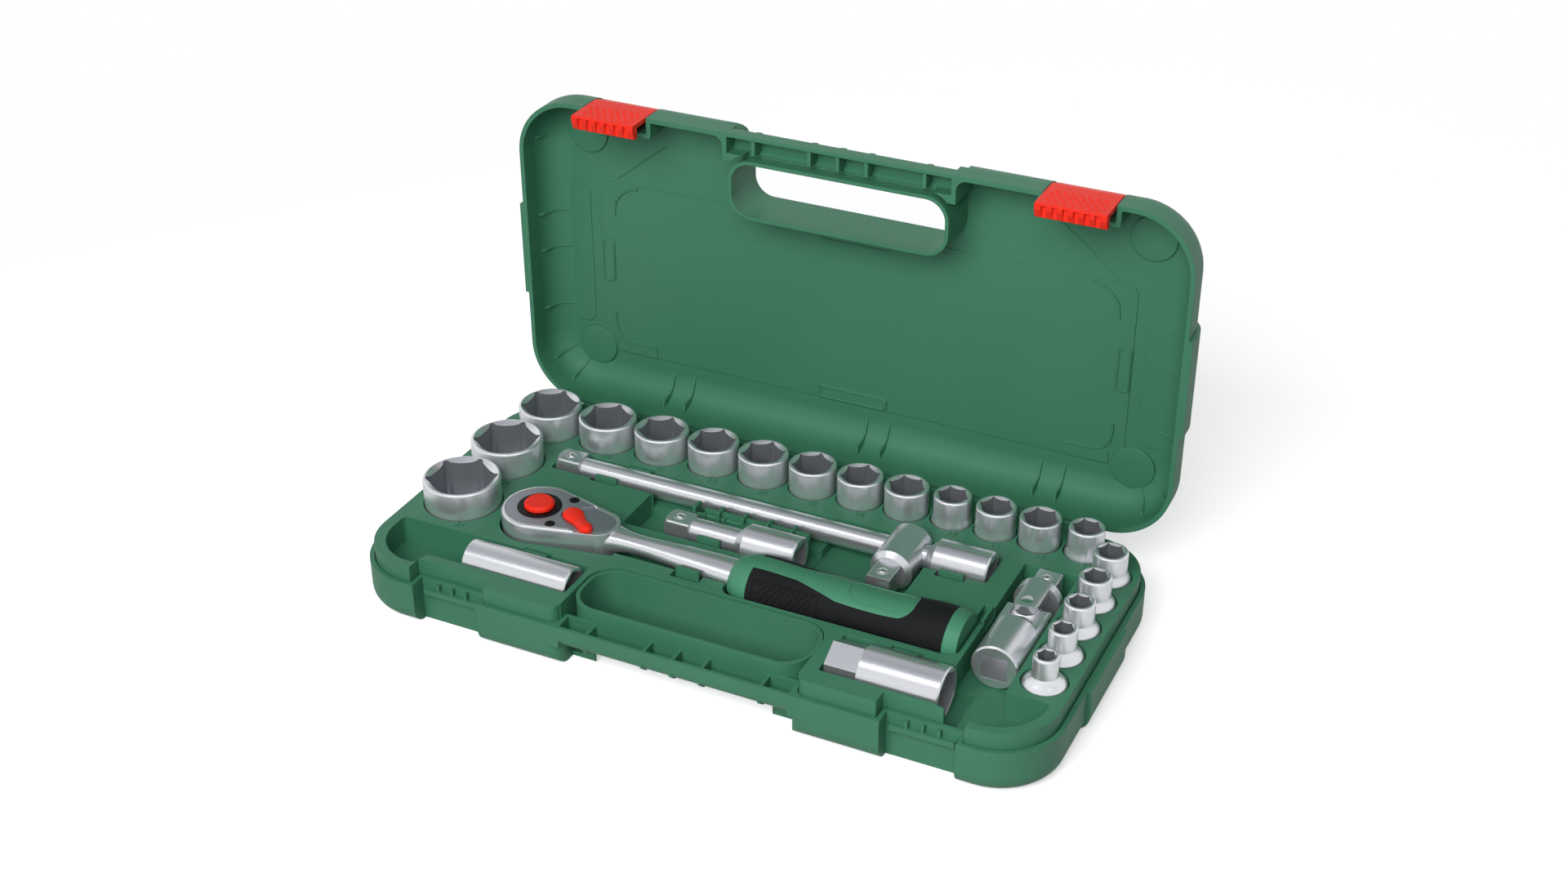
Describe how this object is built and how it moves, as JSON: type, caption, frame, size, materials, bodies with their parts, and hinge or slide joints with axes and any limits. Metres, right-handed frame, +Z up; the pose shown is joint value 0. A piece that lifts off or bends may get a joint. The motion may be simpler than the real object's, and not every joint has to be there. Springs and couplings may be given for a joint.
{
  "type": "socket wrench set in case",
  "caption": "Hinged carrying case, open, with a moulded tray of six-point sockets, a reversible ratchet, extension bars, T-head, universal joint and plug sockets.",
  "frame": {"origin": "middle of the flat underside of the base", "axes": "+X along the case, -Y towards the carrying handle, +Z up"},
  "size_m": [0.38, 0.2177, 0.2131],
  "materials": {
    "case_plastic": "fine textured",
    "handle_plastic": "satin",
    "red_plastic": "satin",
    "grip_rubber": "matte, dotted",
    "insert_rubber": "matte",
    "cover_steel": "dark satin",
    "dark_steel": "black oxide",
    "pin_steel": "polished",
    "satin_chrome": "satin"
  },
  "bodies": {
    "case": {"base_shell": "case_plastic", "tool_tray": "case_plastic", "hinge_pins": "pin_steel"},
    "lid": {"lid_shell": "case_plastic", "latch_pins": "pin_steel"},
    "latch_left": {"latch_left": "red_plastic"},
    "latch_right": {"latch_right": "red_plastic"},
    "ratchet": {"ratchet_body": "satin_chrome", "ratchet_cover": "cover_steel", "cover_screws": "dark_steel", "handle_core": "handle_plastic", "handle_grip": "grip_rubber"},
    "drive": {"drive_gear": "dark_steel", "drive_ball": "pin_steel"},
    "lever": {"reverse_lever": "red_plastic"},
    "pawl": {"pawl": "dark_steel"},
    "button": {"release_button": "red_plastic", "release_pin": "pin_steel"},
    "long_bar": {"long_bar": "satin_chrome", "long_bar_ball": "pin_steel"},
    "t_head": {"t_head": "satin_chrome", "t_head_ball": "pin_steel"},
    "short_extension": {"short_extension": "satin_chrome", "short_extension_ball": "pin_steel"},
    "joint_male": {"joint_male_yoke": "satin_chrome", "joint_ball": "pin_steel"},
    "joint_cross": {"joint_block": "satin_chrome", "joint_pins": "pin_steel"},
    "joint_female": {"joint_female_yoke": "satin_chrome"},
    "plug_16": {"plug_socket_16": "satin_chrome", "plug_insert_16": "insert_rubber"},
    "plug_21": {"plug_socket_21": "satin_chrome", "plug_insert_21": "insert_rubber"},
    "socket_27": {"socket_27": "satin_chrome"},
    "socket_24": {"socket_24": "satin_chrome"},
    "socket_22": {"socket_22": "satin_chrome"},
    "socket_21": {"socket_21": "satin_chrome"},
    "socket_20": {"socket_20": "satin_chrome"},
    "socket_19": {"socket_19": "satin_chrome"},
    "socket_18": {"socket_18": "satin_chrome"},
    "socket_17": {"socket_17": "satin_chrome"},
    "socket_14": {"socket_14": "satin_chrome"},
    "socket_15": {"socket_15": "satin_chrome"},
    "socket_16": {"socket_16": "satin_chrome"},
    "socket_13": {"socket_13": "satin_chrome"},
    "socket_12": {"socket_12": "satin_chrome"},
    "socket_11": {"socket_11": "satin_chrome"},
    "socket_10": {"socket_10": "satin_chrome"},
    "socket_09": {"socket_09": "satin_chrome"},
    "socket_08": {"socket_08": "satin_chrome"},
    "socket_30": {"socket_30": "satin_chrome"},
    "socket_32": {"socket_32": "satin_chrome"}
  },
  "joints": [
    {"name": "lid_hinge", "type": "hinge", "parent": "case", "child": "lid", "pos_m": [0, 0.0975, 0.02465], "axis": [-1, 0, 0], "range_deg": [-90, 0]},
    {"name": "latch_left_swing", "type": "hinge", "parent": "lid", "child": "latch_left", "pos_m": [-0.12775, 0.11715, 0.20765], "axis": [-1, 0, 0], "range_deg": [0, 75]},
    {"name": "latch_right_swing", "type": "hinge", "parent": "lid", "child": "latch_right", "pos_m": [0.12775, 0.11715, 0.20765], "axis": [-1, 0, 0], "range_deg": [0, 75]},
    {"name": "ratchet_lift", "type": "slide", "parent": "case", "child": "ratchet", "axis": [0, 0, 1], "range_m": [0, 0.06]},
    {"name": "drive_spin", "type": "hinge", "parent": "ratchet", "child": "drive", "pos_m": [-0.112, -0.0225, 0.0204], "axis": [0, 0, 1], "continuous": true},
    {"name": "lever_turn", "type": "hinge", "parent": "ratchet", "child": "lever", "pos_m": [-0.092, -0.0225, 0.0425], "axis": [0, 0, 1], "range_deg": [0, 70]},
    {"name": "pawl_turn", "type": "hinge", "parent": "ratchet", "child": "pawl", "pos_m": [-0.092, -0.0225, 0.0313], "axis": [0, 0, 1], "range_deg": [0, 14]},
    {"name": "button_press", "type": "slide", "parent": "drive", "child": "button", "axis": [0, 0, -1], "range_m": [0, 0.002], "stiffness_N_per_m": 400, "springref_m": -0.0005},
    {"name": "long_bar_lift", "type": "slide", "parent": "case", "child": "long_bar", "axis": [0, 0, 1], "range_m": [0, 0.06]},
    {"name": "t_head_slide", "type": "slide", "parent": "long_bar", "child": "t_head", "axis": [1, 0, 0], "range_m": [-0.03, 0.001]},
    {"name": "short_extension_lift", "type": "slide", "parent": "case", "child": "short_extension", "axis": [0, 0, 1], "range_m": [0, 0.06]},
    {"name": "joint_lift", "type": "slide", "parent": "case", "child": "joint_male", "axis": [0, 0, 1], "range_m": [0, 0.06]},
    {"name": "joint_side", "type": "hinge", "parent": "joint_male", "child": "joint_cross", "pos_m": [0.1445, 0.007, 0.03], "axis": [0, 0, 1], "range_deg": [-3, 0]},
    {"name": "joint_raise", "type": "hinge", "parent": "joint_cross", "child": "joint_female", "pos_m": [0.1445, 0.007, 0.03], "axis": [-1, 0, 0], "range_deg": [0, 45]},
    {"name": "plug_16_lift", "type": "slide", "parent": "case", "child": "plug_16", "axis": [0, 0, 1], "range_m": [0, 0.06]},
    {"name": "plug_21_lift", "type": "slide", "parent": "case", "child": "plug_21", "axis": [0, 0, 1], "range_m": [0, 0.06]},
    {"name": "socket_27_lift", "type": "slide", "parent": "case", "child": "socket_27", "axis": [0, 0, 1], "range_m": [0, 0.06]},
    {"name": "socket_24_lift", "type": "slide", "parent": "case", "child": "socket_24", "axis": [0, 0, 1], "range_m": [0, 0.06]},
    {"name": "socket_22_lift", "type": "slide", "parent": "case", "child": "socket_22", "axis": [0, 0, 1], "range_m": [0, 0.06]},
    {"name": "socket_21_lift", "type": "slide", "parent": "case", "child": "socket_21", "axis": [0, 0, 1], "range_m": [0, 0.06]},
    {"name": "socket_20_lift", "type": "slide", "parent": "case", "child": "socket_20", "axis": [0, 0, 1], "range_m": [0, 0.06]},
    {"name": "socket_19_lift", "type": "slide", "parent": "case", "child": "socket_19", "axis": [0, 0, 1], "range_m": [0, 0.06]},
    {"name": "socket_18_lift", "type": "slide", "parent": "case", "child": "socket_18", "axis": [0, 0, 1], "range_m": [0, 0.06]},
    {"name": "socket_17_lift", "type": "slide", "parent": "case", "child": "socket_17", "axis": [0, 0, 1], "range_m": [0, 0.06]},
    {"name": "socket_14_lift", "type": "slide", "parent": "case", "child": "socket_14", "axis": [0, 0, 1], "range_m": [0, 0.06]},
    {"name": "socket_15_lift", "type": "slide", "parent": "case", "child": "socket_15", "axis": [0, 0, 1], "range_m": [0, 0.06]},
    {"name": "socket_16_lift", "type": "slide", "parent": "case", "child": "socket_16", "axis": [0, 0, 1], "range_m": [0, 0.06]},
    {"name": "socket_13_lift", "type": "slide", "parent": "case", "child": "socket_13", "axis": [0, 0, 1], "range_m": [0, 0.06]},
    {"name": "socket_12_lift", "type": "slide", "parent": "case", "child": "socket_12", "axis": [0, 0, 1], "range_m": [0, 0.06]},
    {"name": "socket_11_lift", "type": "slide", "parent": "case", "child": "socket_11", "axis": [0, 0, 1], "range_m": [0, 0.06]},
    {"name": "socket_10_lift", "type": "slide", "parent": "case", "child": "socket_10", "axis": [0, 0, 1], "range_m": [0, 0.06]},
    {"name": "socket_09_lift", "type": "slide", "parent": "case", "child": "socket_09", "axis": [0, 0, 1], "range_m": [0, 0.06]},
    {"name": "socket_08_lift", "type": "slide", "parent": "case", "child": "socket_08", "axis": [0, 0, 1], "range_m": [0, 0.06]},
    {"name": "socket_30_lift", "type": "slide", "parent": "case", "child": "socket_30", "axis": [0, 0, 1], "range_m": [0, 0.06]},
    {"name": "socket_32_lift", "type": "slide", "parent": "case", "child": "socket_32", "axis": [0, 0, 1], "range_m": [0, 0.06]}
  ],
  "couplings": [
    {"joint": "pawl_turn", "follows": "lever_turn", "ratio": 0.2}
  ]
}
